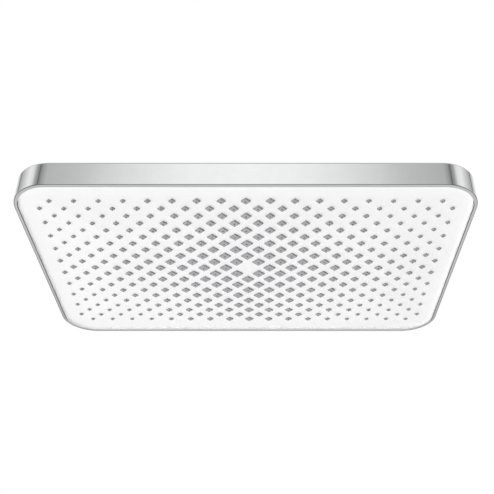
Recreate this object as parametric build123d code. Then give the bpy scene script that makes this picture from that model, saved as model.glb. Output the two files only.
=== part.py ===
from build123d import *
import os
from math import cos, radians, sin, sqrt

# Rectangular overhead shower head, in millimetres.
# X is the long side, Y the short side, Z is up and the spray face looks down.
# The origin is the centre of the inlet thread's mouth, where the shower arm screws in.

# Head outline and the chrome rim
HEAD_LENGTH = 300.0
HEAD_WIDTH = 196.0
CORNER_RADIUS = 25.0
INNER_CORNER_MIN = 1.0
RIM_HEIGHT = 18.8
TOP_EDGE_RADIUS = 2.0
LIP_EDGE_RADIUS = 0.9
LIP_WIDTH = 2.8
LIP_CHAMFER = 0.45
LEDGE_WIDTH = 2.0
ROOF_THICKNESS = 2.5
SHELL_CLEARANCE = 0.4

# Hub on the rear shell
HUB_WALL = 2.6
HUB_FOOT_RADIUS = 46.0
LOCKNUT_ROOM = 0.3

# Face plate, whose front falls away to a level border, and the water chamber on its back
FACE_RECESS = 0.75
FACE_GAP = 0.12
BORDER_WIDTH = 15.0
CROWN_WIDTH = 35.0
CROWN_DEPTH = 1.1
PLATE_THICKNESS = 3.6
CHAMBER_WALL = 1.8
BOSS_RADIUS = 2.8
BOSS_BLEND = 0.6
POST_RADIUS = 3.2

# Nozzle field: squares on a lattice turned 45 degrees, large in the middle and small at the border
NOZZLE_PITCH = 15.82
NOZZLE_CENTRE_HALF = 4.85
NOZZLE_EDGE_HALF = 1.8
NOZZLE_FADE_REACH = 163.0
NOZZLE_PROUD = 0.9
NOZZLE_CLEARANCE = 0.05
MAT_THICKNESS = 1.2
MAT_GAP = 0.2
MAT_BORDER = 1.0
SLEEVE_WALL = 1.3
SLEEVE_HEIGHT = 1.9

# Chamber cover with the threaded spigot
COVER_THICKNESS = 2.5
COVER_RIB = 1.2
SHOULDER_HEIGHT = 1.5
SHOULDER_RADIUS = 24.0
SPIGOT_RADIUS = 17.0
SPIGOT_BORE_RADIUS = 6.0
SPIGOT_TOP_DROP = 3.0
SPIDER_ARM = 1.6
SPIDER_ARMS = 3

# Screws that hold the cover to the face plate
SCREW_RADIUS = 1.45
SCREW_CLEARANCE = 0.05
SCREW_HEAD_RADIUS = 2.6
SCREW_HEAD_HEIGHT = 2.0
SCREW_BITE = 5.0
SCREW_END_ROOM = 40.0
SCREWS_ALONG = 4
SCREWS_ACROSS = 2

# Gasket and ring nut that clamp the shell on the spigot
GASKET_THICKNESS = 1.5
GASKET_WIDTH = 5.0
THREAD_CLEARANCE = 0.1
LOCKNUT_HEIGHT = 4.0
LOCKNUT_WIDTH = 2.8
LOCKNUT_SLOT = 4.0
LOCKNUT_SLOT_DEPTH = 1.2
LOCKNUT_SLOTS = 4

# Ball joint
BALL_RADIUS = 12.0
BALL_DROP = 32.0
BALL_FOOT = 10.0
BALL_CLEARANCE = 0.05
NECK_RADIUS = 6.5
WATERWAY_RADIUS = 4.5
NUT_ACROSS_FLATS = 40.0
NUT_TOP_RISE = 11.0
NUT_SKIRT = 11.5
NUT_CHAMFER_ANGLE = 30.0
NUT_GAP = 0.5
NUT_STEP = 0.3
RING_ANGLE = 30.0
RING_THICKNESS = 1.8
RING_LENGTH = 4.0
RING_CLEARANCE = 0.06
RING_HOLD = 3.2
SEAL_ANGLE = 40.0
SEAL_THICKNESS = 2.0
SEAL_LENGTH = 3.0
SEAL_CLEARANCE = 0.06

# Inlet socket for the shower arm
THREAD_MINOR_RADIUS = 9.3155
THREAD_MAJOR_RADIUS = 10.4775
THREAD_DEPTH = 11.0
RELIEF_HEIGHT = 2.5
SOCKET_FLOOR = 2.0
SOCKET_ACROSS_FLATS = 25.0
WASHER_RADIUS = 9.2
WASHER_BORE_RADIUS = 6.0
WASHER_THICKNESS = 2.0
SCREEN_THICKNESS = 0.5
SCREEN_CLEARANCE = 0.05
LIMITER_FLANGE_RADIUS = 7.0
LIMITER_FLANGE = 1.0
LIMITER_RADIUS = 5.1
LIMITER_LENGTH = 5.0
LIMITER_HOLE_RADIUS = 1.6
LIMITER_CLEARANCE = 0.05

# Heights, worked down from the inlet mouth
ball_z = -BALL_DROP
socket_floor_z = -THREAD_DEPTH - RELIEF_HEIGHT
socket_under_z = socket_floor_z - SOCKET_FLOOR
nut_top_z = ball_z + NUT_TOP_RISE
nut_under_z = ball_z - NUT_SKIRT
spigot_top_z = ball_z - SPIGOT_TOP_DROP
hub_top_z = nut_under_z - NUT_GAP
roof_top_z = hub_top_z - LOCKNUT_HEIGHT
roof_under_z = roof_top_z - ROOF_THICKNESS
rim_under_z = roof_top_z - RIM_HEIGHT
shoulder_top_z = roof_under_z - GASKET_THICKNESS
cover_top_z = shoulder_top_z - SHOULDER_HEIGHT
cover_under_z = cover_top_z - COVER_THICKNESS
face_z = rim_under_z + FACE_RECESS
border_z = face_z + CROWN_DEPTH
plate_back_z = face_z + PLATE_THICKNESS
mat_top_z = plate_back_z + MAT_THICKNESS
post_top_z = mat_top_z + SLEEVE_HEIGHT
nozzle_tip_z = face_z - NOZZLE_PROUD

# Insets from the head's outline
ledge_inset = LIP_WIDTH + LEDGE_WIDTH
plate_inset = LIP_WIDTH + FACE_GAP
cover_inset = ledge_inset + SHELL_CLEARANCE
screw_inset = cover_inset + BOSS_RADIUS
chamber_inset = screw_inset + BOSS_RADIUS - BOSS_BLEND
mat_inset = chamber_inset + CHAMBER_WALL + MAT_GAP
rib_inset = mat_inset + COVER_RIB

# Radii that follow from the fits
thread_bore_radius = SPIGOT_RADIUS + THREAD_CLEARANCE
locknut_radius = thread_bore_radius + LOCKNUT_WIDTH
recess_radius = locknut_radius + LOCKNUT_ROOM
hub_radius = recess_radius + HUB_WALL
gasket_radius = thread_bore_radius + GASKET_WIDTH
sleeve_bore_radius = POST_RADIUS + MAT_GAP
sleeve_radius = sleeve_bore_radius + SLEEVE_WALL
ring_reach = sqrt((BALL_RADIUS + BALL_CLEARANCE + RING_THICKNESS) ** 2 + (RING_LENGTH / 2) ** 2)
seal_reach = sqrt((BALL_RADIUS + BALL_CLEARANCE + SEAL_THICKNESS) ** 2 + (SEAL_LENGTH / 2) ** 2)
ring_seat = ring_reach + RING_CLEARANCE
seal_seat = seal_reach + SEAL_CLEARANCE


def plan(inset):
    """Head outline moved inwards"""
    radius = max(CORNER_RADIUS - inset, INNER_CORNER_MIN)
    return RectangleRounded(HEAD_LENGTH - 2 * inset, HEAD_WIDTH - 2 * inset, radius)


def slab(inset, bottom, top):
    """Head outline moved inwards, between two heights"""
    return Pos(0, 0, bottom) * extrude(plan(inset), top - bottom)


def disc(radius, bottom, top):
    """Round bar on the inlet axis, between two heights"""
    return Pos(0, 0, bottom) * extrude(Circle(radius), top - bottom)


def turned(*points):
    """Solid of revolution about the inlet axis from a closed outline of radius and height"""
    return revolve(Plane.XZ * make_face(Polyline(*points, close=True)), Axis.Z)


def hexagon(across_flats, bottom, top):
    """Hexagon bar with both ends chamfered as on a turned nut"""
    bar = Pos(0, 0, bottom) * extrude(RegularPolygon(across_flats / 2, 6, major_radius=False), top - bottom)
    flat = across_flats / 2
    corner = flat / cos(radians(30))
    drop = (corner - flat) * sin(radians(NUT_CHAMFER_ANGLE)) / cos(radians(NUT_CHAMFER_ANGLE))
    turned_blank = turned(
        (0, bottom), (flat, bottom), (corner, bottom + drop), (corner, top - drop), (flat, top), (0, top)
    )
    return bar & turned_blank


def on_tangent(latitude, distance, along):
    """Radius and height of a point on the cone that touches a sphere about the ball centre"""
    angle = radians(latitude)
    radius = distance * cos(angle) - along * sin(angle)
    height = ball_z + distance * sin(angle) + along * cos(angle)
    return radius, height


def cone_at_radius(latitude, distance, radius):
    """Point where that cone has a given radius"""
    angle = radians(latitude)
    along = (distance * cos(angle) - radius) / sin(angle)
    return on_tangent(latitude, distance, along)


def nozzle_sites():
    """Centre and half diagonal of every nozzle; the middle site stays bare for the centre screw"""
    step = NOZZLE_PITCH / 2
    middle_half = NOZZLE_CENTRE_HALF
    columns = int((HEAD_LENGTH / 2 - mat_inset - MAT_BORDER - NOZZLE_EDGE_HALF) / step)
    rows = int((HEAD_WIDTH / 2 - mat_inset - MAT_BORDER - NOZZLE_CENTRE_HALF) / step)
    fade = (middle_half - NOZZLE_EDGE_HALF) / NOZZLE_FADE_REACH
    sites = []
    for row in range(-rows, rows + 1):
        for column in range(-columns, columns + 1):
            if (row + column) % 2 == 0 and (row, column) != (0, 0):
                x = column * step
                y = row * step
                half = max(NOZZLE_EDGE_HALF, middle_half - fade * (abs(x) + abs(y)))
                sites.append((x, y, half))
    return sites


def diamond(x, y, half):
    """Square standing on its corner"""
    return Polyline((x - half, y), (x, y - half), (x + half, y), (x, y + half), close=True)


def crown_slopes():
    """What the crown takes off the plate's front: all round four slight slopes, down to the level border"""
    flat_inset = BORDER_WIDTH + CROWN_WIDTH
    flat = Rectangle(HEAD_LENGTH - 2 * flat_inset, HEAD_WIDTH - 2 * flat_inset)
    foot = Rectangle(HEAD_LENGTH - 2 * BORDER_WIDTH, HEAD_WIDTH - 2 * BORDER_WIDTH)
    crowned = loft([Pos(0, 0, face_z) * flat, Pos(0, 0, border_z) * foot], ruled=True)
    return Pos(0, 0, face_z) * extrude(Rectangle(HEAD_LENGTH, HEAD_WIDTH), CROWN_DEPTH) - crowned


def crown_fall(x, y):
    """How far the crowned front has fallen back at a place"""
    past = max(abs(x) - HEAD_LENGTH / 2, abs(y) - HEAD_WIDTH / 2) + BORDER_WIDTH + CROWN_WIDTH
    return CROWN_DEPTH * min(max(past / CROWN_WIDTH, 0), 1)


def screw_sites():
    """Screws along the border of the face plate"""
    x_edge = HEAD_LENGTH / 2 - screw_inset
    y_edge = HEAD_WIDTH / 2 - screw_inset
    x_pitch = (HEAD_LENGTH - 2 * SCREW_END_ROOM) / (SCREWS_ALONG - 1)
    y_pitch = (HEAD_WIDTH - 2 * SCREW_END_ROOM) / (SCREWS_ACROSS - 1)
    along = [(place.position.X, place.position.Y) for place in GridLocations(x_pitch, 2 * y_edge, SCREWS_ALONG, 2)]
    across = [(place.position.X, place.position.Y) for place in GridLocations(2 * x_edge, y_pitch, 2, SCREWS_ACROSS)]
    return along + across


def screw(x, y, seat_z, tip_z):
    """Pan head screw"""
    shank = Pos(x, y, tip_z) * extrude(Circle(SCREW_RADIUS), seat_z - tip_z)
    head = Pos(x, y, seat_z) * extrude(Circle(SCREW_HEAD_RADIUS), SCREW_HEAD_HEIGHT)
    return shank + head


def rear_shell():
    """Chrome back: rim with rounded top edge, lip, ledge for the face plate and flared hub"""
    body = slab(0, rim_under_z, roof_top_z)
    body = fillet(body.faces().sort_by(Axis.Z)[-1].edges(), TOP_EDGE_RADIUS)
    body = fillet(body.faces().sort_by(Axis.Z)[0].edges(), LIP_EDGE_RADIUS)
    flare = TangentArc(
        (HUB_FOOT_RADIUS, roof_top_z), (hub_radius, hub_top_z), tangent=(-1, 0)
    )
    hub_outline = flare + Polyline(
        (hub_radius, hub_top_z), (0, hub_top_z), (0, roof_top_z), (HUB_FOOT_RADIUS, roof_top_z)
    )
    hub = revolve(Plane.XZ * make_face(hub_outline), Axis.Z)
    hollow_top_z = hub_top_z - ROOF_THICKNESS
    hollow_arc = TangentArc(
        (HUB_FOOT_RADIUS, roof_under_z), (hub_radius, hollow_top_z), tangent=(-1, 0)
    )
    hollow_outline = hollow_arc + Polyline(
        (hub_radius, hollow_top_z), (hub_radius, roof_under_z), (HUB_FOOT_RADIUS, roof_under_z)
    )
    hollow = revolve(Plane.XZ * make_face(hollow_outline), Axis.Z)
    face_pocket = slab(LIP_WIDTH, rim_under_z, plate_back_z)
    lip_chamfer = loft([
        Pos(0, 0, rim_under_z) * plan(LIP_WIDTH - LIP_CHAMFER),
        Pos(0, 0, rim_under_z + LIP_CHAMFER) * plan(LIP_WIDTH),
    ], ruled=True)
    chamber_pocket = slab(ledge_inset, plate_back_z, roof_under_z)
    recess = disc(recess_radius, roof_top_z, hub_top_z)
    spigot_hole = disc(thread_bore_radius, roof_under_z, roof_top_z)
    return body + hub - [hollow, face_pocket, lip_chamfer, chamber_pocket, recess, spigot_hole]


def face_plate():
    """White crowned plate with a square hole for every nozzle, chamber wall, screw bosses and middle post"""
    holes = [diamond(x, y, half + NOZZLE_CLEARANCE) for x, y, half in nozzle_sites()]
    blank = Pos(0, 0, face_z) * extrude(Face(plan(plate_inset).wire(), holes), PLATE_THICKNESS)
    plate = blank - crown_slopes()
    wall_inset = chamber_inset + CHAMBER_WALL
    wall = slab(chamber_inset, plate_back_z, cover_under_z) - slab(wall_inset, plate_back_z, cover_under_z)
    bosses = [
        Pos(x, y, plate_back_z) * extrude(Circle(BOSS_RADIUS), cover_under_z - plate_back_z)
        for x, y in screw_sites()
    ]
    pilots = [
        Pos(x, y, cover_under_z - SCREW_BITE) * extrude(Circle(SCREW_RADIUS + SCREW_CLEARANCE), SCREW_BITE)
        for x, y in screw_sites()
    ]
    post = disc(POST_RADIUS, plate_back_z, post_top_z)
    post_pilot = disc(SCREW_RADIUS + SCREW_CLEARANCE, plate_back_z, post_top_z)
    return plate + (wall + [post, *bosses] - [post_pilot, *pilots])


def nozzle_mat():
    """Silicone sheet on the back of the plate, with every nozzle standing through its hole"""
    sleeve = disc(sleeve_radius, mat_top_z, post_top_z)
    sleeve_bore = disc(sleeve_bore_radius, plate_back_z, post_top_z)
    sheet = slab(mat_inset, plate_back_z, mat_top_z) + sleeve - sleeve_bore
    nozzles = []
    for x, y, half in nozzle_sites():
        tip_z = nozzle_tip_z + crown_fall(x, y)
        nozzles.append(Pos(0, 0, tip_z) * extrude(make_face(diamond(x, y, half)), plate_back_z - tip_z))
    return sheet + nozzles


def chamber_cover():
    """Lid of the water chamber, with the spigot that carries the ball joint"""
    lid = slab(cover_inset, cover_under_z, cover_top_z)
    rib = slab(mat_inset, mat_top_z, cover_under_z) - slab(rib_inset, mat_top_z, cover_under_z)
    cup_radius = seal_seat
    spigot = turned(
        (0, cover_under_z),
        (SHOULDER_RADIUS, cover_under_z),
        (SHOULDER_RADIUS, shoulder_top_z),
        (SPIGOT_RADIUS, shoulder_top_z),
        (SPIGOT_RADIUS, spigot_top_z),
        (0, spigot_top_z),
    )
    waterway = turned(
        (0, cover_under_z),
        (SPIGOT_BORE_RADIUS, cover_under_z),
        cone_at_radius(-SEAL_ANGLE, seal_seat, SPIGOT_BORE_RADIUS),
        cone_at_radius(-SEAL_ANGLE, seal_seat, cup_radius),
        (cup_radius, spigot_top_z),
        (0, spigot_top_z),
    )
    spider_hub = disc(sleeve_radius, post_top_z, cover_top_z)
    arm = Pos(SPIGOT_BORE_RADIUS / 2, 0, cover_under_z) * extrude(
        Rectangle(SPIGOT_BORE_RADIUS + SPIDER_ARM, SPIDER_ARM), COVER_THICKNESS
    )
    arms = [Rot(0, 0, turn * 360 / SPIDER_ARMS) * arm for turn in range(SPIDER_ARMS)]
    screw_hole_radius = SCREW_RADIUS + SCREW_CLEARANCE
    holes = [
        Pos(x, y, cover_under_z) * extrude(Circle(screw_hole_radius), COVER_THICKNESS) for x, y in screw_sites()
    ]
    cover = lid + [rib, spigot] - [waterway, *holes]
    return cover + [spider_hub, *arms] - disc(screw_hole_radius, post_top_z, cover_top_z)


def cover_screws():
    """Screws round the border, as separate solids"""
    return Compound([
        screw(x, y, cover_top_z, cover_under_z - SCREW_BITE).solid() for x, y in screw_sites()
    ])


def centre_screw():
    """Screw through the spider that ties the middle of the plate to the cover"""
    return screw(0, 0, cover_top_z, plate_back_z)


def hub_gasket():
    """Flat ring between the cover's shoulder and the shell"""
    return disc(gasket_radius, shoulder_top_z, roof_under_z) - disc(
        thread_bore_radius, shoulder_top_z, roof_under_z
    )


def locknut():
    """Slotted ring nut that clamps the shell to the spigot"""
    ring = disc(locknut_radius, roof_top_z, hub_top_z) - disc(thread_bore_radius, roof_top_z, hub_top_z)
    slot = Pos(locknut_radius, 0, roof_top_z) * extrude(
        Rectangle(2 * LOCKNUT_SLOT_DEPTH, LOCKNUT_SLOT), LOCKNUT_HEIGHT
    )
    return ring - [Rot(0, 0, turn * 360 / LOCKNUT_SLOTS) * slot for turn in range(LOCKNUT_SLOTS)]


def union_nut():
    """Hexagon nut that holds the ball down on its seal"""
    body = hexagon(NUT_ACROSS_FLATS, nut_under_z, nut_top_z)
    mouth_radius, mouth_z = on_tangent(RING_ANGLE, ring_seat, RING_HOLD)
    cavity = turned(
        (0, nut_under_z),
        (thread_bore_radius, nut_under_z),
        (thread_bore_radius, spigot_top_z + NUT_STEP),
        (ring_seat, spigot_top_z + NUT_STEP),
        cone_at_radius(RING_ANGLE, ring_seat, ring_seat),
        (mouth_radius, mouth_z),
        (mouth_radius, nut_top_z),
        (0, nut_top_z),
    )
    return body - cavity


def joint_ring(latitude, thickness, length):
    """Ring whose inner cone touches the ball at a latitude"""
    inner = BALL_RADIUS + BALL_CLEARANCE
    outer = inner + thickness
    return turned(
        on_tangent(latitude, inner, -length / 2),
        on_tangent(latitude, outer, -length / 2),
        on_tangent(latitude, outer, length / 2),
        on_tangent(latitude, inner, length / 2),
    )


def slip_ring():
    """Plastic bearing ring between the ball and the nut"""
    return joint_ring(RING_ANGLE, RING_THICKNESS, RING_LENGTH)


def ball_seal():
    """Rubber ring under the ball"""
    return joint_ring(-SEAL_ANGLE, SEAL_THICKNESS, SEAL_LENGTH)


def swivel_ball():
    """Turned brass ball with its neck and the hexagon socket for the shower arm"""
    foot_radius = sqrt(BALL_RADIUS ** 2 - BALL_FOOT ** 2)
    neck_z = ball_z + sqrt(BALL_RADIUS ** 2 - NECK_RADIUS ** 2)
    ball_arc = ThreePointArc((foot_radius, ball_z - BALL_FOOT), (BALL_RADIUS, ball_z), (NECK_RADIUS, neck_z))
    outline = ball_arc + Polyline(
        (NECK_RADIUS, neck_z),
        (NECK_RADIUS, socket_under_z),
        (0, socket_under_z),
        (0, ball_z - BALL_FOOT),
        (foot_radius, ball_z - BALL_FOOT),
    )
    ball = revolve(Plane.XZ * make_face(outline), Axis.Z)
    socket = hexagon(SOCKET_ACROSS_FLATS, socket_under_z, 0)
    flange_room_z = socket_floor_z - LIMITER_FLANGE
    limiter_room_z = flange_room_z - LIMITER_LENGTH
    waterway = turned(
        (0, 0),
        (THREAD_MINOR_RADIUS, 0),
        (THREAD_MINOR_RADIUS, -THREAD_DEPTH),
        (THREAD_MAJOR_RADIUS, -THREAD_DEPTH),
        (THREAD_MAJOR_RADIUS, socket_floor_z),
        (LIMITER_FLANGE_RADIUS + LIMITER_CLEARANCE, socket_floor_z),
        (LIMITER_FLANGE_RADIUS + LIMITER_CLEARANCE, flange_room_z),
        (LIMITER_RADIUS + LIMITER_CLEARANCE, flange_room_z),
        (LIMITER_RADIUS + LIMITER_CLEARANCE, limiter_room_z),
        (WATERWAY_RADIUS, limiter_room_z),
        (WATERWAY_RADIUS, ball_z - BALL_FOOT),
        (0, ball_z - BALL_FOOT),
    )
    return ball + socket - waterway


def filter_washer():
    """Rubber washer on the floor of the socket"""
    top_z = socket_floor_z + WASHER_THICKNESS
    return disc(WASHER_RADIUS, socket_floor_z, top_z) - disc(WASHER_BORE_RADIUS, socket_floor_z, top_z)


def filter_screen():
    """Sieve inside the washer, on the limiter's flange"""
    return disc(WASHER_BORE_RADIUS - SCREEN_CLEARANCE, socket_floor_z, socket_floor_z + SCREEN_THICKNESS)


def flow_limiter():
    """Flanged insert that limits the flow"""
    flange_under_z = socket_floor_z - LIMITER_FLANGE
    foot_z = flange_under_z - LIMITER_LENGTH
    body = disc(LIMITER_FLANGE_RADIUS, flange_under_z, socket_floor_z) + disc(LIMITER_RADIUS, foot_z, flange_under_z)
    return body - disc(LIMITER_HOLE_RADIUS, foot_z, socket_floor_z)


PIECES = [
    rear_shell,
    face_plate,
    nozzle_mat,
    chamber_cover,
    cover_screws,
    centre_screw,
    hub_gasket,
    locknut,
    union_nut,
    slip_ring,
    ball_seal,
    swivel_ball,
    filter_washer,
    filter_screen,
    flow_limiter,
]

os.makedirs("parts", exist_ok=True)
for piece in PIECES:
    export_step(piece(), f"parts/{piece.__name__}.step")
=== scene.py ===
from math import atan2, cos, pi, radians, sin, sqrt, tan

import bpy
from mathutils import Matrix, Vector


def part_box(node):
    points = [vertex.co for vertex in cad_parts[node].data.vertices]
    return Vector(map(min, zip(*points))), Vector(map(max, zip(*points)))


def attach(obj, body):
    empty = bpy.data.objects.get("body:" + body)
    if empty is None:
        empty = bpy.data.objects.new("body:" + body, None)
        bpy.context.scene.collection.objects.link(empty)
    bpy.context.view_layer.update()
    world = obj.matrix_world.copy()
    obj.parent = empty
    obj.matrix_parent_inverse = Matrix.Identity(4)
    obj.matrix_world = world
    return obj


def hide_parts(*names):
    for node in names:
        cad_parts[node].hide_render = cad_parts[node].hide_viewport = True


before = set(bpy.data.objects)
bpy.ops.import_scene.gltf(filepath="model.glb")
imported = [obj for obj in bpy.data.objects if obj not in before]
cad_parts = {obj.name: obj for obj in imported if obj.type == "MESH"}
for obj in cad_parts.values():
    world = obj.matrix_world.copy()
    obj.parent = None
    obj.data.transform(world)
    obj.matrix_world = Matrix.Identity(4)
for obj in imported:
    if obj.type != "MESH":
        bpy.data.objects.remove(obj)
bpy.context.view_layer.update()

MM = 0.001

# How close places, heights and directions have to agree, and the bend that stays a smooth surface
PLACE_TOLERANCE = 1e-6
MERGE_DISTANCE = 1e-7
LEVEL_NORMAL = 0.99
SMOOTH_ANGLE = 32

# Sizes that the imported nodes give
shell_low, shell_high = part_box("rear_shell")
mat_low, mat_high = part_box("nozzle_mat")
nut_low, nut_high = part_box("union_nut")
head_length = shell_high[0] - shell_low[0]
head_width = shell_high[1] - shell_low[1]
rim_under = shell_low[2]
hub_top = shell_high[2]
face_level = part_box("face_plate")[0][2]
nozzle_tip = mat_low[2]

# Shell, in the same sizes as the solid
RIM_HEIGHT = 18.8 * MM
CORNER_RADIUS = 25 * MM
CORNER_STEPS = 32
TOP_EDGE = 2 * MM
TOP_EDGE_STEPS = 8
LIP_EDGE = 0.9 * MM
LIP_EDGE_STEPS = 4
LIP_WIDTH = 2.8 * MM
LIP_CHAMFER = 0.45 * MM
LEDGE_WIDTH = 2 * MM
ROOF_THICKNESS = 2.5 * MM
SUPPORT_RING = 1 * MM
HUB_FOOT = 46 * MM
HUB_RADIUS = 22.8 * MM
HUB_RECESS = 20.2 * MM
HUB_EDGE = 0.6 * MM
HUB_EDGE_BEND = 0.3 * HUB_EDGE
HUB_MOUTH_CHAMFER = 0.5 * HUB_EDGE
SPIGOT_HOLE = 17.1 * MM
FLARE_STEPS = 10
ROUND_STEPS = 96

# Face plate and nozzle field
PLATE_THICKNESS = 3.6 * MM
BORDER_WIDTH = 15 * MM
CROWN_WIDTH = 35 * MM
CROWN_DEPTH = 1.1 * MM
MAT_SHEET = 1.2 * MM
MAT_CORNER = 12.8 * MM
SLEEVE_RADIUS = 4.7 * MM
SLEEVE_BORE = 3.4 * MM
NOZZLE_PITCH = 15.82 * MM
NOZZLE_CENTRE_HALF = 4.85 * MM
NOZZLE_EDGE_HALF = 1.8 * MM
NOZZLE_FADE_REACH = 163 * MM
NOZZLE_COLUMNS = 17
NOZZLE_ROWS = 10
NOZZLE_DRAFT = 0.22 * MM
NOZZLE_EDGE = 0.18 * MM
NOZZLE_EDGE_REACH = 1.4 * NOZZLE_EDGE
NOZZLE_SMOOTH_ANGLE = 25
ORIFICE_RADIUS = 0.6 * MM
ORIFICE_CORNER = 1.3 * ORIFICE_RADIUS
ORIFICE_CORNER_CUT = 0.55 * ORIFICE_RADIUS
ORIFICE_DEPTH = 2.4 * MM
STEM_ROOT = 0.05 * MM

# Ball joint
NUT_FLATS = 40 * MM
NUT_BORE = 17.1 * MM
NUT_SHOULDER = -34.7 * MM
NUT_CAVITY = 14.05 * MM
NUT_CONE_FOOT = -28.23 * MM
NUT_CONE_TOP = -22.2 * MM
NUT_MOUTH = 10.57 * MM
SOCKET_FLATS = 25 * MM
SOCKET_HEIGHT = 15.5 * MM
SOCKET_DEPTH = 13.5 * MM
MOUTH_CHAMFER = 0.6 * MM
CHAMFER_ANGLE = radians(30)
CHAMFER_CIRCLE_SHARE = 0.965
HEXAGON_EDGE = 0.3 * MM
HEXAGON_EDGE_STEPS = 3
HEXAGON_SMOOTH_ANGLE = 24
TURNING_OVERSIZE = 0.5 * MM
NECK_RADIUS = 6.5 * MM
BALL_RADIUS = 12 * MM
BALL_CENTRE = -32 * MM
BALL_FOOT = 10 * MM
BALL_STEPS = 24
LIMITER_FLANGE_ROOM = 7.05 * MM
LIMITER_FLANGE_FLOOR = -14.5 * MM
LIMITER_ROOM = 5.15 * MM
LIMITER_FLOOR = -19.5 * MM
WATERWAY = 4.5 * MM
THREAD_MINOR = 9.3155 * MM
THREAD_MAJOR = 10.4775 * MM
THREAD_PITCH = 1.814 * MM
THREAD_TURNS = 5
THREAD_STEPS = 60
THREAD_FOOT = -11.2 * MM
THREAD_ROOT_SHARE = 0.86
THREAD_CREST_SHARE = 0.14
THREAD_SINK = 0.05 * MM

# Light: direction it grows towards, how much of it is one-sided, its level,
# what the lip gives back to the face, the key lamp and the floor
LIGHT_FROM = (-0.45, 0.7, 0)
LIGHT_SIDE_SHARE = 1.4
LIGHT_LEVEL = 0.94
RETURNED_LIGHT = 1.9
RETURNED_TILT = -1.3
RETURNED_BACK = 1.8
KEY_PLACE = (-3.3, 2.7, -3.3)
KEY_SIZE = 1.8
KEY_POWER = 74
FLOOR_RADIUS = 1.5
FLOOR_LEVEL = -2.2
FLOOR_FADE_START = 0.4 * FLOOR_RADIUS
FLOOR_FADE_END = 0.95 * FLOOR_RADIUS

# Room that the chrome mirrors: degrees from straight ahead and tone
ROOM_TURN = radians(2)
ROOM_TONES = [
    (0, 0.99), (5, 0.95), (9, 0.84), (12, 0.73), (15, 0.57), (19, 0.46), (30, 0.35),
    (36, 0.24), (38.5, 0.13), (41, 0.25), (50, 0.42), (58, 0.78), (72, 0.9), (84, 0.74),
    (104, 0.49), (112, 0.42), (115, 0.14), (119, 0.4), (126, 0.62), (150, 1.0),
]
CEILING_TONE = 0.5
CEILING_FADE = (0.7, 0.85)
HORIZON_FADE = (-0.06, 0.02)
REAR_FADE = (-0.15, 0.3)

# Floor that the chrome mirrors: height above straight down and tone
FLOOR_FRONT_TONES = [(0, 0.56), (0.32, 0.54), (0.4, 0.04), (1, 0.04)]
FLOOR_BACK_TONES = [(0, 0.58), (0.5, 0.57), (0.58, 0.4), (0.64, 0.1), (1, 0.1)]

# Camera that took the photo
CAMERA_LENS = 57.13
CAMERA_SENSOR = 36
CAMERA_SHIFT_X = -0.0316
CAMERA_SHIFT_Y = 0.0004
CAMERA_ASIDE = 10.88 * MM
CAMERA_AHEAD = -482.4 * MM
CAMERA_BELOW = 302.25 * MM
CAMERA_TILT = radians(90 + 33.63)

roof_top = rim_under + RIM_HEIGHT
roof_under = roof_top - ROOF_THICKNESS
plate_back = face_level + PLATE_THICKNESS


# Modelling helpers

def select_only(piece):
    """Makes one object the only selected and active one"""
    bpy.ops.object.select_all(action="DESELECT")
    piece.select_set(True)
    bpy.context.view_layer.objects.active = piece


def pick(piece, kind, wanted):
    """Enters edit mode with just the vertices, edges or faces that pass a test"""
    select_only(piece)
    bpy.ops.object.mode_set(mode="EDIT")
    bpy.ops.mesh.select_mode(type=kind)
    bpy.ops.mesh.select_all(action="DESELECT")
    bpy.ops.object.mode_set(mode="OBJECT")
    mesh = piece.data
    parts = {"VERT": mesh.vertices, "EDGE": mesh.edges, "FACE": mesh.polygons}[kind]
    for part in parts:
        part.select = wanted(part)
    bpy.ops.object.mode_set(mode="EDIT")


def done():
    """Leaves edit mode"""
    bpy.ops.object.mode_set(mode="OBJECT")


def edge_heights(piece, edge):
    """Heights of an edge's two ends"""
    return [piece.data.vertices[index].co.z for index in edge.vertices]


def at_height(piece, height):
    """Test for edges that lie level at a height"""
    return lambda edge: all(abs(z - height) < PLACE_TOLERANCE for z in edge_heights(piece, edge))


def facing(axis_z, height):
    """Test for level faces at a height that look up or down"""
    return lambda face: (
        face.normal.z * axis_z > LEVEL_NORMAL and abs(face.center.z - height) < PLACE_TOLERANCE
    )


def recalculate(piece):
    """Merges doubles and turns all faces outwards"""
    select_only(piece)
    bpy.ops.object.mode_set(mode="EDIT")
    bpy.ops.mesh.select_all(action="SELECT")
    bpy.ops.mesh.remove_doubles(threshold=MERGE_DISTANCE)
    bpy.ops.mesh.normals_make_consistent(inside=False)
    done()


def smooth(piece, angle=SMOOTH_ANGLE):
    """Smooth shading that keeps real edges"""
    select_only(piece)
    bpy.ops.object.shade_smooth_by_angle(angle=radians(angle))


def apply_modifier(piece, kind, **settings):
    """Adds a modifier with its settings and applies it"""
    select_only(piece)
    modifier = piece.modifiers.new(kind.lower(), kind)
    for name, value in settings.items():
        setattr(modifier, name, value)
    bpy.ops.object.modifier_apply(modifier=modifier.name)


def combine(piece, other, operation):
    """Boolean of two closed pieces; the second one is used up"""
    apply_modifier(piece, "BOOLEAN", object=other, operation=operation, solver="EXACT")
    bpy.data.objects.remove(other)


def join(first, *others):
    """Joins pieces into the first one"""
    select_only(first)
    for other in others:
        other.select_set(True)
    bpy.ops.object.join()
    return first


def settle(piece):
    """Puts an object's place, turn and scale into its mesh"""
    select_only(piece)
    bpy.ops.object.transform_apply(location=True, rotation=True, scale=True)


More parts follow.
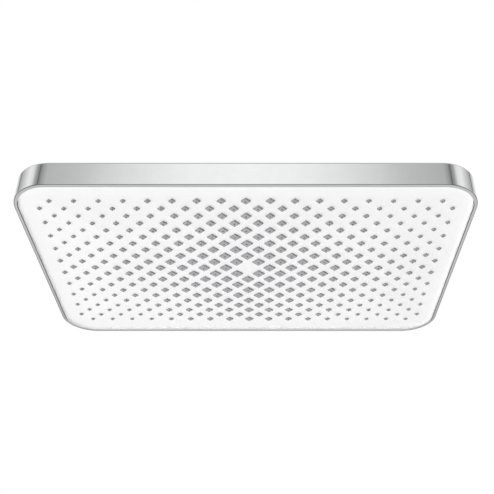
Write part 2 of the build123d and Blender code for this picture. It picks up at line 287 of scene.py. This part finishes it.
def rounded_plate(name, length, width, corner, height):
    """Flat rounded rectangle"""
    bpy.ops.object.select_all(action="DESELECT")
    bpy.ops.mesh.primitive_plane_add(size=1, location=(0, 0, height))
    plate = bpy.context.object
    plate.name = name
    plate.scale = (length, width, 1)
    settle(plate)
    bpy.ops.object.mode_set(mode="EDIT")
    bpy.ops.mesh.select_all(action="SELECT")
    bpy.ops.mesh.bevel(offset=corner, segments=CORNER_STEPS, affect="VERTICES")
    done()
    return plate


def lathe(name, profile, steps=ROUND_STEPS):
    """Turns a profile of radius and height: a circle is drawn out ring by ring"""
    bpy.ops.object.select_all(action="DESELECT")
    radius, height = profile[0]
    bpy.ops.mesh.primitive_circle_add(vertices=steps, radius=radius, location=(0, 0, height))
    piece = bpy.context.object
    piece.name = name
    settle(piece)
    pick(piece, "EDGE", lambda edge: True)
    for next_radius, next_height in profile[1:]:
        bpy.ops.mesh.extrude_edges_move(TRANSFORM_OT_translate={"value": (0, 0, next_height - height)})
        ratio = next_radius / radius
        bpy.ops.transform.resize(value=(ratio, ratio, 1), center_override=(0, 0, next_height))
        radius, height = next_radius, next_height
    done()
    return piece


def close_ends(piece):
    """Fills every open end of a piece"""
    pick(piece, "EDGE", lambda edge: False)
    bpy.ops.mesh.select_non_manifold()
    bpy.ops.mesh.fill_holes(sides=0)
    done()


def turned_solid(name, profile, steps=ROUND_STEPS):
    """Closed turned solid: both end rings are filled"""
    piece = lathe(name, profile, steps)
    close_ends(piece)
    recalculate(piece)
    return piece


def turned_ring(name, profile, steps=ROUND_STEPS):
    """Closed turned ring: the last ring meets the first"""
    piece = lathe(name, profile + [profile[0]], steps)
    recalculate(piece)
    return piece


# Material helpers

def new_material(name):
    """Material with a principled shader and object coordinates"""
    material = bpy.data.materials.new(name)
    material.use_nodes = True
    nodes = material.node_tree.nodes
    shader = nodes["Principled BSDF"]
    place = nodes.new("ShaderNodeTexCoord")
    return material, nodes, material.node_tree.links, shader, place


def noise(nodes, links, place, scale, detail=3.0):
    """Noise on object coordinates, its scale per metre"""
    texture = nodes.new("ShaderNodeTexNoise")
    texture.inputs["Scale"].default_value = scale
    texture.inputs["Detail"].default_value = detail
    links.new(place.outputs["Object"], texture.inputs["Vector"])
    return texture


def ramp(nodes, links, source, stops):
    """Colour ramp from a factor"""
    node = nodes.new("ShaderNodeValToRGB")
    elements = node.color_ramp.elements
    while len(elements) < len(stops):
        elements.new(0.5)
    for element, (position, colour) in zip(elements, stops):
        element.position = position
        element.color = (*colour, 1)
    links.new(source, node.inputs["Fac"])
    return node


def spread(nodes, links, source, low, high):
    """Maps a factor to a range"""
    node = nodes.new("ShaderNodeMapRange")
    node.inputs["To Min"].default_value = low
    node.inputs["To Max"].default_value = high
    links.new(source, node.inputs["Value"])
    return node


def bump(nodes, links, shader, source, height, strength):
    """Fine relief"""
    node = nodes.new("ShaderNodeBump")
    node.inputs["Strength"].default_value = strength
    node.inputs["Distance"].default_value = height
    links.new(source, node.inputs["Height"])
    links.new(node.outputs["Normal"], shader.inputs["Normal"])


def plated_chrome(name, tint, rough_low, rough_high, wave):
    """Bright plating: slight waviness of the moulding and a faint haze"""
    material, nodes, links, shader, place = new_material(name)
    haze = noise(nodes, links, place, scale=140, detail=5)
    colour = ramp(nodes, links, haze.outputs["Fac"], [(0.3, tint), (0.7, [c * 0.97 for c in tint])])
    links.new(colour.outputs["Color"], shader.inputs["Base Color"])
    rough = spread(nodes, links, haze.outputs["Fac"], rough_low, rough_high)
    links.new(rough.outputs["Result"], shader.inputs["Roughness"])
    shader.inputs["Metallic"].default_value = 1.0
    swell = noise(nodes, links, place, scale=22, detail=1)
    bump(nodes, links, shader, swell.outputs["Fac"], height=wave, strength=0.12)
    return material


def moulded_plastic(name, light, dark, rough, grain, depth):
    """Moulded plastic: slight tone drift and fine grain"""
    material, nodes, links, shader, place = new_material(name)
    drift = noise(nodes, links, place, scale=18, detail=2)
    colour = ramp(nodes, links, drift.outputs["Fac"], [(0.3, dark), (0.7, light)])
    links.new(colour.outputs["Color"], shader.inputs["Base Color"])
    fine = noise(nodes, links, place, scale=grain, detail=4)
    gloss = spread(nodes, links, fine.outputs["Fac"], rough - 0.05, rough + 0.05)
    links.new(gloss.outputs["Result"], shader.inputs["Roughness"])
    bump(nodes, links, shader, fine.outputs["Fac"], height=depth, strength=0.2)
    return material


def silicone_rubber(name, light, dark, rough):
    """Matt silicone or rubber: cloudy tone and a dry grain"""
    material, nodes, links, shader, place = new_material(name)
    cloud = noise(nodes, links, place, scale=260)
    colour = ramp(nodes, links, cloud.outputs["Fac"], [(0.25, dark), (0.75, light)])
    links.new(colour.outputs["Color"], shader.inputs["Base Color"])
    fine = noise(nodes, links, place, scale=2400)
    gloss = spread(nodes, links, fine.outputs["Fac"], rough - 0.08, rough + 0.08)
    links.new(gloss.outputs["Result"], shader.inputs["Roughness"])
    bump(nodes, links, shader, fine.outputs["Fac"], height=0.00004, strength=0.25)
    return material


def turned_metal(name, tint, rough):
    """Plain turned metal: fine rings round the inlet axis"""
    material, nodes, links, shader, place = new_material(name)
    rings = nodes.new("ShaderNodeTexWave")
    rings.wave_type = "RINGS"
    rings.rings_direction = "Z"
    rings.inputs["Scale"].default_value = 900
    rings.inputs["Distortion"].default_value = 1.5
    links.new(place.outputs["Object"], rings.inputs["Vector"])
    colour = ramp(nodes, links, rings.outputs["Fac"], [(0.0, [c * 0.86 for c in tint]), (1.0, tint)])
    links.new(colour.outputs["Color"], shader.inputs["Base Color"])
    gloss = spread(nodes, links, rings.outputs["Fac"], rough, rough + 0.12)
    links.new(gloss.outputs["Result"], shader.inputs["Roughness"])
    shader.inputs["Metallic"].default_value = 1.0
    bump(nodes, links, shader, rings.outputs["Fac"], height=0.00002, strength=0.2)
    return material


def woven_sieve(name):
    """Steel gauze: two crossing sets of wires, with the openings between them painted near black as
    painted shade
    """
    material, nodes, links, shader, place = new_material(name)
    waves = []
    for direction in ("X", "Y"):
        wave = nodes.new("ShaderNodeTexWave")
        wave.bands_direction = direction
        wave.inputs["Scale"].default_value = 420
        links.new(place.outputs["Object"], wave.inputs["Vector"])
        waves.append(wave)
    wires = nodes.new("ShaderNodeMath")
    wires.operation = "MAXIMUM"
    links.new(waves[0].outputs["Fac"], wires.inputs[0])
    links.new(waves[1].outputs["Fac"], wires.inputs[1])
    # Painted shade: the openings get near black for the dark seen through the gauze, the wires a mid
    # grey
    colour = ramp(
        nodes, links, wires.outputs["Value"], [(0.55, (0.03, 0.03, 0.03)), (0.8, (0.6, 0.6, 0.6))]
    )
    links.new(colour.outputs["Color"], shader.inputs["Base Color"])
    gloss = spread(nodes, links, wires.outputs["Value"], low=0.6, high=0.3)
    links.new(gloss.outputs["Result"], shader.inputs["Roughness"])
    shader.inputs["Metallic"].default_value = 0.8
    bump(nodes, links, shader, wires.outputs["Value"], height=0.0001, strength=0.6)
    return material


def dress(piece, material):
    """Gives a piece or node its one material"""
    piece.data.materials.clear()
    piece.data.materials.append(material)


def finish_piece(piece, material, body, slot, *nodes):
    """Material, body and the node that a new piece stands for; the slot argument is not used"""
    dress(piece, material)
    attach(piece, body)
    if nodes:
        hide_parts(*nodes)


# Pieces

def flare_profile(foot, top_radius, low, high):
    """Arc that leaves the roof level at the foot and climbs to the hub's top"""
    reach = foot - top_radius
    rise = high - low
    radius = (reach ** 2 + rise ** 2) / (2 * rise)
    sweep = atan2(reach, radius - rise)
    points = []
    for step in range(FLARE_STEPS + 1):
        angle = sweep * step / FLARE_STEPS
        points.append((foot - radius * sin(angle), low + radius * (1 - cos(angle))))
    return points


def shell_back():
    """Chrome back: rim with rounded edges, lip and ledge inside, flared hollow hub on top"""
    shell = rounded_plate("shell_back", head_length, head_width, CORNER_RADIUS, rim_under)
    bpy.ops.object.mode_set(mode="EDIT")
    bpy.ops.mesh.select_all(action="SELECT")
    bpy.ops.mesh.extrude_region_move(TRANSFORM_OT_translate={"value": (0, 0, RIM_HEIGHT)})
    done()
    recalculate(shell)
    pick(shell, "EDGE", at_height(shell, roof_top))
    bpy.ops.mesh.bevel(offset=TOP_EDGE, segments=TOP_EDGE_STEPS, affect="EDGES")
    done()
    pick(shell, "EDGE", at_height(shell, rim_under))
    bpy.ops.mesh.bevel(offset=LIP_EDGE, segments=LIP_EDGE_STEPS, affect="EDGES")
    done()
    pick(shell, "FACE", facing(-1, rim_under))
    bpy.ops.mesh.inset(thickness=LIP_WIDTH - LIP_EDGE - LIP_CHAMFER)
    bpy.ops.mesh.inset(thickness=LIP_CHAMFER, depth=-LIP_CHAMFER)
    bpy.ops.mesh.extrude_region_move(
        TRANSFORM_OT_translate={"value": (0, 0, plate_back - rim_under - LIP_CHAMFER)}
    )
    bpy.ops.mesh.inset(thickness=LEDGE_WIDTH)
    bpy.ops.mesh.extrude_region_move(TRANSFORM_OT_translate={"value": (0, 0, roof_under - plate_back)})
    bpy.ops.mesh.delete(type="ONLY_FACE")
    done()
    pick(shell, "FACE", facing(1, roof_top))
    bpy.ops.mesh.inset(thickness=SUPPORT_RING)
    bpy.ops.mesh.delete(type="ONLY_FACE")
    done()
    flare = flare_profile(HUB_FOOT, HUB_RADIUS, roof_top, hub_top - HUB_EDGE)
    hollow = flare_profile(HUB_FOOT, HUB_RADIUS, roof_under, hub_top - ROOF_THICKNESS)
    hub = lathe("hub", [(HUB_FOOT + SUPPORT_RING, roof_top)] + flare + [
        (HUB_RADIUS - HUB_EDGE_BEND, hub_top - HUB_EDGE_BEND),
        (HUB_RADIUS - HUB_EDGE, hub_top),
        (HUB_RECESS + HUB_MOUTH_CHAMFER, hub_top),
        (HUB_RECESS, hub_top - HUB_MOUTH_CHAMFER),
        (HUB_RECESS, roof_top),
        (SPIGOT_HOLE, roof_top),
        (SPIGOT_HOLE, roof_under),
        (HUB_RADIUS, roof_under),
    ] + hollow[::-1])
    shell = join(shell, hub)
    for height in (roof_top, roof_under):
        open_edges = boundary_edges(shell, height)
        pick(shell, "EDGE", lambda edge: edge.index in open_edges)
        bpy.ops.mesh.bridge_edge_loops()
        done()
    recalculate(shell)
    smooth(shell)
    apply_modifier(shell, "WEIGHTED_NORMAL", weight=100, keep_sharp=True)
    return shell


def boundary_edges(piece, height):
    """Numbers of the level edges at a height that have one face only"""
    uses = {}
    for face in piece.data.polygons:
        for key in face.edge_keys:
            uses[key] = uses.get(key, 0) + 1
    level = at_height(piece, height)
    return {edge.index for edge in piece.data.edges if uses.get(edge.key, 0) == 1 and level(edge)}


def nozzle(half):
    """One nozzle: straight stem in the plate, drafted tip with rounded edges and a spray hole"""
    stem = plate_back + STEM_ROOT - face_level
    bpy.ops.object.select_all(action="DESELECT")
    bpy.ops.mesh.primitive_cylinder_add(
        vertices=4, radius=half, depth=stem, end_fill_type="NGON",
        location=(0, 0, face_level + stem / 2)
    )
    piece = bpy.context.object
    settle(piece)
    pick(piece, "FACE", facing(-1, face_level))
    bpy.ops.mesh.extrude_region_move(
        TRANSFORM_OT_translate={"value": (0, 0, nozzle_tip + NOZZLE_EDGE - face_level)}
    )
    tip_half = half - NOZZLE_DRAFT
    ratio = tip_half / half
    bpy.ops.transform.resize(value=(ratio, ratio, 1), center_override=(0, 0, 0))
    bpy.ops.mesh.extrude_region_move(TRANSFORM_OT_translate={"value": (0, 0, -NOZZLE_EDGE)})
    flat_half = tip_half - NOZZLE_EDGE_REACH
    ratio = flat_half / tip_half
    bpy.ops.transform.resize(value=(ratio, ratio, 1), center_override=(0, 0, 0))
    bpy.ops.mesh.extrude_region_move(TRANSFORM_OT_translate={"value": (0, 0, 0)})
    ratio = ORIFICE_CORNER / flat_half
    bpy.ops.transform.resize(value=(ratio, ratio, 1), center_override=(0, 0, 0))
    done()
    hole = ORIFICE_CORNER + PLACE_TOLERANCE
    pick(piece, "VERT", lambda v: abs(v.co.z - nozzle_tip) < PLACE_TOLERANCE and v.co.xy.length < hole)
    bpy.ops.mesh.bevel(offset=ORIFICE_CORNER_CUT, segments=1, affect="VERTICES")
    done()
    pick(piece, "FACE", lambda f: f.normal.z < -LEVEL_NORMAL and f.center.xy.length < PLACE_TOLERANCE)
    bpy.ops.mesh.extrude_region_move(TRANSFORM_OT_translate={"value": (0, 0, ORIFICE_DEPTH)})
    done()
    return piece


def nozzle_sites():
    """Place and half diagonal of every nozzle; the middle one is left out"""
    step = NOZZLE_PITCH / 2
    fade = (NOZZLE_CENTRE_HALF - NOZZLE_EDGE_HALF) / NOZZLE_FADE_REACH
    for row in range(-NOZZLE_ROWS, NOZZLE_ROWS + 1):
        for column in range(-NOZZLE_COLUMNS, NOZZLE_COLUMNS + 1):
            if (row + column) % 2 == 0 and (row, column) != (0, 0):
                ring = (abs(row) + abs(column)) // 2
                half = max(NOZZLE_EDGE_HALF, NOZZLE_CENTRE_HALF - fade * ring * NOZZLE_PITCH)
                yield column * step, row * step, ring, half


def crown_fall(x, y):
    """How far the plate's crowned front has fallen back at a place"""
    past = max(abs(x) - head_length / 2, abs(y) - head_width / 2) + BORDER_WIDTH + CROWN_WIDTH
    return CROWN_DEPTH * min(max(past / CROWN_WIDTH, 0), 1)


def silicone_mat():
    """Mat behind the plate with the sleeve round the middle post and all its nozzles"""
    length = mat_high[0] - mat_low[0]
    width = mat_high[1] - mat_low[1]
    sheet = rounded_plate("silicone_mat", length, width, MAT_CORNER, plate_back)
    bpy.ops.object.mode_set(mode="EDIT")
    bpy.ops.mesh.select_all(action="SELECT")
    bpy.ops.mesh.extrude_region_move(TRANSFORM_OT_translate={"value": (0, 0, MAT_SHEET)})
    done()
    recalculate(sheet)
    sleeve_top = mat_high[2]
    sleeve = [(SLEEVE_RADIUS, plate_back + MAT_SHEET / 2), (SLEEVE_RADIUS, sleeve_top)]
    combine(sheet, turned_solid("sleeve", sleeve), "UNION")
    post_hole = [(SLEEVE_BORE, face_level), (SLEEVE_BORE, sleeve_top + MAT_SHEET)]
    combine(sheet, turned_solid("post_hole", post_hole), "DIFFERENCE")
    models = {}
    copies = []
    for x, y, ring, half in nozzle_sites():
        if ring not in models:
            models[ring] = nozzle(half)
        copy = models[ring].copy()
        copy.data = models[ring].data.copy()
        copy.location = (x, y, crown_fall(x, y))
        bpy.context.collection.objects.link(copy)
        copies.append(copy)
    mat = join(sheet, *copies)
    settle(mat)
    for model in models.values():
        bpy.data.objects.remove(model)
    smooth(mat, NOZZLE_SMOOTH_ANGLE)
    return mat


def hexagon_corner(flats):
    """Distance of a hexagon's corners from its middle"""
    return flats / 2 / cos(radians(30))


def blank_outside(flats, low, high):
    """Outside of a round blank, chamfered at both ends, before its hexagon is milled"""
    circle = CHAMFER_CIRCLE_SHARE * flats / 2
    outside = hexagon_corner(flats) + TURNING_OVERSIZE
    drop = (outside - circle) * tan(CHAMFER_ANGLE)
    return [(circle, low), (outside, low + drop), (outside, high - drop), (circle, high)]


def mill_hexagon(piece, flats):
    """Cuts the six flats of a turned piece and rounds their edges"""
    piece.rotation_euler.z = pi / ROUND_STEPS
    settle(piece)
    bpy.ops.object.select_all(action="DESELECT")
    bpy.ops.mesh.primitive_cylinder_add(
        vertices=6, radius=hexagon_corner(flats), depth=1, rotation=(0, 0, radians(30))
    )
    bar = bpy.context.object
    settle(bar)
    combine(piece, bar, "INTERSECT")
    normals = [(cos(radians(30 + 60 * side)), sin(radians(30 + 60 * side))) for side in range(6)]

    def on_flats(edge):
        ends = [piece.data.vertices[index].co for index in edge.vertices]
        reaches = [max(end.x * x + end.y * y for x, y in normals) for end in ends]
        return min(reaches) > flats / 2 - PLACE_TOLERANCE

    pick(piece, "EDGE", on_flats)
    bpy.ops.mesh.bevel(offset=HEXAGON_EDGE, segments=HEXAGON_EDGE_STEPS, affect="EDGES")
    done()
    recalculate(piece)


def polish(piece):
    """Smooth shading with flat faces kept flat"""
    smooth(piece, HEXAGON_SMOOTH_ANGLE)
    apply_modifier(piece, "WEIGHTED_NORMAL", weight=100, keep_sharp=True)


def ball_nut():
    """Hexagon nut over the ball, bored for the neck"""
    low, high = nut_low[2], nut_high[2]
    nut = turned_ring("ball_nut", blank_outside(NUT_FLATS, low, high) + [
        (NUT_MOUTH + MOUTH_CHAMFER, high), (NUT_MOUTH, high - MOUTH_CHAMFER),
        (NUT_MOUTH, NUT_CONE_TOP), (NUT_CAVITY, NUT_CONE_FOOT), (NUT_CAVITY, NUT_SHOULDER),
        (NUT_BORE, NUT_SHOULDER), (NUT_BORE, low),
    ])
    mill_hexagon(nut, NUT_FLATS)
    polish(nut)
    return nut


def inlet_ball():
    """Ball, neck and hexagon socket, turned from one bar, with the pipe thread in the socket"""
    low_angle = atan2(-BALL_FOOT, sqrt(BALL_RADIUS ** 2 - BALL_FOOT ** 2))
    high_angle = atan2(sqrt(BALL_RADIUS ** 2 - NECK_RADIUS ** 2), NECK_RADIUS)
    ball = []
    for step in range(BALL_STEPS + 1):
        angle = low_angle + (high_angle - low_angle) * step / BALL_STEPS
        ball.append((BALL_RADIUS * cos(angle), BALL_CENTRE + BALL_RADIUS * sin(angle)))
    neck = [(NECK_RADIUS, -SOCKET_HEIGHT)]
    waterway = [
        (THREAD_MAJOR + MOUTH_CHAMFER, 0), (THREAD_MAJOR, -MOUTH_CHAMFER),
        (THREAD_MAJOR, -SOCKET_DEPTH), (LIMITER_FLANGE_ROOM, -SOCKET_DEPTH),
        (LIMITER_FLANGE_ROOM, LIMITER_FLANGE_FLOOR),
        (LIMITER_ROOM, LIMITER_FLANGE_FLOOR), (LIMITER_ROOM, LIMITER_FLOOR),
        (WATERWAY, LIMITER_FLOOR), (WATERWAY, BALL_CENTRE - BALL_FOOT),
    ]
    socket = blank_outside(SOCKET_FLATS, -SOCKET_HEIGHT, 0)
    inlet = turned_ring("inlet_ball", ball + neck + socket + waterway)
    mill_hexagon(inlet, SOCKET_FLATS)
    combine(inlet, pipe_thread(), "UNION")
    polish(inlet)
    return inlet


def pipe_thread():
    """Female pipe thread: one ridge wound round the bore"""
    outside = THREAD_MAJOR + THREAD_SINK
    root = THREAD_ROOT_SHARE * THREAD_PITCH
    middle = THREAD_FOOT + root / 2
    bpy.ops.object.select_all(action="DESELECT")
    bpy.ops.mesh.primitive_plane_add(
        size=1, location=((outside + THREAD_MINOR) / 2, 0, middle), rotation=(pi / 2, 0, 0)
    )
    ridge = bpy.context.object
    ridge.name = "thread"
    ridge.scale = (outside - THREAD_MINOR, root, 1)
    settle(ridge)
    pick(ridge, "VERT", lambda v: v.co.x < THREAD_MINOR + THREAD_SINK)
    ratio = THREAD_CREST_SHARE / THREAD_ROOT_SHARE
    bpy.ops.transform.resize(value=(1, 1, ratio), center_override=(0, 0, middle))
    done()
    apply_modifier(
        ridge, "SCREW", angle=2 * pi, screw_offset=THREAD_PITCH, iterations=THREAD_TURNS, axis="Z",
        steps=THREAD_STEPS, render_steps=THREAD_STEPS,
        use_merge_vertices=True, merge_threshold=MERGE_DISTANCE
    )
    close_ends(ridge)
    recalculate(ridge)
    smooth(ridge)
    return ridge


# Stage

def floor():
    """Pale round floor, clear of views from under the head; its rim fades into the white"""
    bpy.ops.object.select_all(action="DESELECT")
    bpy.ops.mesh.primitive_circle_add(
        vertices=ROUND_STEPS, radius=FLOOR_RADIUS, fill_type="NGON", location=(0, 0, FLOOR_LEVEL)
    )
    disc = bpy.context.object
    disc.name = "floor"
    settle(disc)
    material, nodes, links, shader, place = new_material("floor_pale")
    shade = noise(nodes, links, place, scale=1.5, detail=2)
    pale = [(0.3, (0.8, 0.8, 0.8)), (0.7, (0.83, 0.83, 0.83))]
    colour = ramp(nodes, links, shade.outputs["Fac"], pale)
    links.new(colour.outputs["Color"], shader.inputs["Base Color"])
    shader.inputs["Roughness"].default_value = 0.9
    flat = nodes.new("ShaderNodeVectorMath")
    flat.operation = "MULTIPLY"
    flat.inputs[1].default_value = (1, 1, 0)
    links.new(place.outputs["Object"], flat.inputs[0])
    reach = nodes.new("ShaderNodeVectorMath")
    reach.operation = "LENGTH"
    links.new(flat.outputs["Vector"], reach.inputs[0])
    edge = fade(nodes, links, reach.outputs["Value"], FLOOR_FADE_START, FLOOR_FADE_END)
    path = nodes.new("ShaderNodeLightPath")
    seen = calculate(nodes, links, "MULTIPLY", edge, path.outputs["Is Camera Ray"])
    white = nodes.new("ShaderNodeEmission")
    mix = nodes.new("ShaderNodeMixShader")
    links.new(seen, mix.inputs["Fac"])
    links.new(shader.outputs["BSDF"], mix.inputs[1])
    links.new(white.outputs["Emission"], mix.inputs[2])
    links.new(mix.outputs["Shader"], nodes["Material Output"].inputs["Surface"])
    dress(disc, material)
    disc.visible_glossy = False


def studio_world():
    """White to the camera, broad soft light from left and back, soft boxes for the chrome to mirror"""
    world = bpy.data.worlds.new("studio")
    bpy.context.scene.world = world
    world.use_nodes = True
    nodes = world.node_tree.nodes
    links = world.node_tree.links
    nodes.clear()
    out = nodes.new("ShaderNodeOutputWorld")
    place = nodes.new("ShaderNodeTexCoord")
    look = place.outputs["Generated"]
    path = nodes.new("ShaderNodeLightPath")
    white = background(nodes, links, (1, 1, 1, 1))
    returned = nodes.new("ShaderNodeMixShader")
    after_face = calculate(nodes, links, "MINIMUM", path.outputs["Diffuse Depth"], 1)
    links.new(after_face, returned.inputs["Fac"])
    links.new(background(nodes, links, mirrored_room(nodes, links, look)), returned.inputs[1])
    links.new(background(nodes, links, returned_light(nodes, links, look)), returned.inputs[2])
    by_mirror = nodes.new("ShaderNodeMixShader")
    links.new(path.outputs["Is Glossy Ray"], by_mirror.inputs["Fac"])
    links.new(background(nodes, links, side_light(nodes, links, look)), by_mirror.inputs[1])
    links.new(returned.outputs["Shader"], by_mirror.inputs[2])
    by_camera = nodes.new("ShaderNodeMixShader")
    links.new(path.outputs["Is Camera Ray"], by_camera.inputs["Fac"])
    links.new(by_mirror.outputs["Shader"], by_camera.inputs[1])
    links.new(white, by_camera.inputs[2])
    links.new(by_camera.outputs["Shader"], out.inputs["Surface"])


def background(nodes, links, colour):
    """World shader of strength 1 from a colour or a socket"""
    shader = nodes.new("ShaderNodeBackground")
    if isinstance(colour, tuple):
        shader.inputs["Color"].default_value = colour
    else:
        links.new(colour, shader.inputs["Color"])
    return shader.outputs["Background"]


def calculate(nodes, links, operation, first, second):
    """Math node on two sockets or numbers"""
    node = nodes.new("ShaderNodeMath")
    node.operation = operation
    for socket, value in zip(node.inputs, (first, second)):
        if isinstance(value, (int, float)):
            socket.default_value = value
        else:
            links.new(value, socket)
    return node.outputs["Value"]


def fade(nodes, links, source, start, end):
    """Share that climbs from 0 to 1 between two values"""
    node = nodes.new("ShaderNodeMapRange")
    node.inputs["From Min"].default_value = start
    node.inputs["From Max"].default_value = end
    links.new(source, node.inputs["Value"])
    return node.outputs["Result"]


def side_light(nodes, links, look):
    """Soft light that grows towards the left and back of the head"""
    along = nodes.new("ShaderNodeVectorMath")
    along.operation = "DOT_PRODUCT"
    along.inputs[1].default_value = LIGHT_FROM
    links.new(look, along.inputs[0])
    level = calculate(nodes, links, "MULTIPLY_ADD", along.outputs["Value"], LIGHT_SIDE_SHARE)
    level.node.inputs[2].default_value = 1
    light = calculate(nodes, links, "MULTIPLY", level, LIGHT_LEVEL)
    return calculate(nodes, links, "MAXIMUM", light, 0)


def returned_light(nodes, links, look):
    """Light that the inside of the lip gives back to the face, most of it along the back edge"""
    parts = nodes.new("ShaderNodeSeparateXYZ")
    links.new(look, parts.inputs["Vector"])
    level = calculate(nodes, links, "MULTIPLY_ADD", parts.outputs["Y"], RETURNED_TILT)
    level.node.inputs[2].default_value = RETURNED_LIGHT
    front = calculate(nodes, links, "MULTIPLY", parts.outputs["Y"], -1)
    back_edge = calculate(nodes, links, "MAXIMUM", front, 0)
    extra = calculate(nodes, links, "MULTIPLY", back_edge, RETURNED_BACK)
    return calculate(nodes, links, "ADD", level, extra)


def mirrored_room(nodes, links, look):
    """What the chrome mirrors: soft boxes all round, a darker floor in front, an even ceiling"""
    turn = nodes.new("ShaderNodeVectorRotate")
    turn.rotation_type = "Z_AXIS"
    turn.inputs["Angle"].default_value = ROOM_TURN
    links.new(look, turn.inputs["Vector"])
    parts = nodes.new("ShaderNodeSeparateXYZ")
    links.new(turn.outputs["Vector"], parts.inputs["Vector"])
    side = calculate(nodes, links, "ABSOLUTE", parts.outputs["X"], 0)
    front = calculate(nodes, links, "MULTIPLY", parts.outputs["Y"], -1)
    azimuth = calculate(nodes, links, "ARCTAN2", side, front)
    share = calculate(nodes, links, "DIVIDE", azimuth, pi)
    boxes = greys(nodes, links, share, [(angle / 180, tone) for angle, tone in ROOM_TONES])
    ceiling = fade(nodes, links, parts.outputs["Z"], *CEILING_FADE)
    upper = blend(nodes, links, ceiling, boxes, (CEILING_TONE,) * 3 + (1,))
    horizon = fade(nodes, links, parts.outputs["Z"], *HORIZON_FADE)
    rear = fade(nodes, links, parts.outputs["Y"], *REAR_FADE)
    steep = calculate(nodes, links, "ADD", parts.outputs["Z"], 1)
    front_floor = greys(nodes, links, steep, FLOOR_FRONT_TONES)
    back_floor = greys(nodes, links, steep, FLOOR_BACK_TONES)
    lower = blend(nodes, links, rear, front_floor, back_floor)
    return blend(nodes, links, horizon, lower, upper)


def greys(nodes, links, source, tones):
    """Grey from a ramp of places and tones"""
    node = ramp(nodes, links, source, [(position, (tone,) * 3) for position, tone in tones])
    return node.outputs["Color"]


def blend(nodes, links, factor, first, second):
    """Mix of two colours, each a socket or a value"""
    node = nodes.new("ShaderNodeMix")
    node.data_type = "RGBA"
    links.new(factor, node.inputs["Factor"])
    for name, value in (("A", first), ("B", second)):
        socket = next(s for s in node.inputs if s.name == name and s.type == "RGBA")
        if isinstance(value, tuple):
            socket.default_value = value
        else:
            links.new(value, socket)
    return next(s for s in node.outputs if s.type == "RGBA")


def soft_box(name, place, aim, size, power):
    """Square area lamp aimed at a point"""
    lamp = bpy.data.lights.new(name, "AREA")
    lamp.shape = "SQUARE"
    lamp.size = size
    lamp.energy = power
    box = bpy.data.objects.new(name, lamp)
    bpy.context.collection.objects.link(box)
    box.location = place
    direction = [b - a for a, b in zip(place, aim)]
    flat = sqrt(direction[0] ** 2 + direction[1] ** 2)
    box.rotation_euler = (pi / 2 + atan2(direction[2], flat), 0, atan2(-direction[0], direction[1]))
    box.visible_glossy = False


def photo_camera():
    """Camera below and in front of the head, looking up at its face"""
    data = bpy.data.cameras.new("photo_camera")
    data.lens = CAMERA_LENS
    data.sensor_width = CAMERA_SENSOR
    data.shift_x = CAMERA_SHIFT_X
    data.shift_y = CAMERA_SHIFT_Y
    camera = bpy.data.objects.new("photo_camera", data)
    bpy.context.collection.objects.link(camera)
    camera.location = (CAMERA_ASIDE, CAMERA_AHEAD, rim_under - CAMERA_BELOW)
    camera.rotation_euler = (CAMERA_TILT, 0, 0)
    bpy.context.scene.camera = camera


shell_chrome = plated_chrome(
    "shell_chrome", (0.9, 0.905, 0.91), rough_low=0.02, rough_high=0.05, wave=0.00004
)
brass_chrome = plated_chrome(
    "brass_chrome", (0.88, 0.885, 0.89), rough_low=0.03, rough_high=0.07, wave=0.00005
)
face_white = moulded_plastic(
    "face_white", (0.925, 0.925, 0.925), (0.91, 0.91, 0.912), rough=0.32, grain=1800, depth=0.00003
)
nozzle_grey = silicone_rubber("nozzle_grey", (0.41, 0.405, 0.425), (0.37, 0.366, 0.384), rough=0.5)
seal_black = silicone_rubber("seal_black", (0.035, 0.035, 0.036), (0.02, 0.02, 0.021), rough=0.55)
cover_plastic = moulded_plastic(
    "cover_plastic", (0.13, 0.13, 0.135), (0.1, 0.1, 0.105), rough=0.45, grain=1200, depth=0.00005
)
bearing_plastic = moulded_plastic(
    "bearing_plastic", (0.8, 0.79, 0.76), (0.76, 0.75, 0.72), rough=0.4, grain=1200, depth=0.00004
)
screw_steel = turned_metal("screw_steel", (0.62, 0.62, 0.63), rough=0.3)
plain_brass = turned_metal("plain_brass", (0.75, 0.56, 0.26), rough=0.28)
sieve_steel = woven_sieve("sieve_steel")

finish_piece(shell_back(), shell_chrome, "head", "chrome_shell", "rear_shell")
finish_piece(silicone_mat(), nozzle_grey, "head", "grey_silicone", "nozzle_mat")
finish_piece(ball_nut(), brass_chrome, "head", "chrome_brass", "union_nut")
finish_piece(inlet_ball(), brass_chrome, "inlet", "chrome_brass", "swivel_ball")

node_finishes = {
    "face_plate": face_white,
    "chamber_cover": cover_plastic,
    "cover_screws": screw_steel,
    "centre_screw": screw_steel,
    "hub_gasket": seal_black,
    "locknut": plain_brass,
    "slip_ring": bearing_plastic,
    "ball_seal": seal_black,
    "filter_washer": seal_black,
    "filter_screen": sieve_steel,
    "flow_limiter": bearing_plastic,
}
for node, finish in node_finishes.items():
    dress(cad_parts[node], finish)

floor()
studio_world()
soft_box("key", KEY_PLACE, (0, 0, rim_under), KEY_SIZE, KEY_POWER)
photo_camera()
bpy.context.scene.view_settings.view_transform = "Standard"
